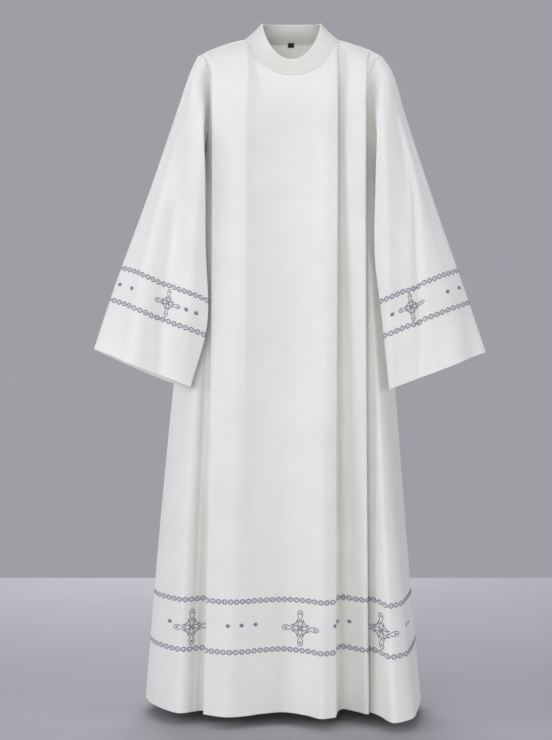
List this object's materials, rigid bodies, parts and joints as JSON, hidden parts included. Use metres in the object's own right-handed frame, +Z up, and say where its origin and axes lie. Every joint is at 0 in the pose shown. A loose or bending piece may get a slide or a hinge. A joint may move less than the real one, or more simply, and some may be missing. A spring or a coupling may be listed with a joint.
{
  "type": "alb robe",
  "caption": "Full-length white alb with a stand collar, pleated front and wide hanging sleeves, filled out as worn, with embroidered bands at the hem and cuffs.",
  "frame": {"origin": "between the shoulders, midway between front and back, where the wearer holds the robe up", "axes": "+Z up, the front faces -Y, and +X is on the viewer's right from in front (the wearer's left)"},
  "size_m": [0.8532, 0.4459, 1.5082],
  "materials": {
    "cloth": "matte",
    "label": "matte"
  },
  "bodies": {
    "root": {"front": "cloth", "back": "cloth", "sleeve_left": "cloth", "sleeve_right": "cloth", "collar": "cloth", "label": "label"}
  },
  "joints": []
}
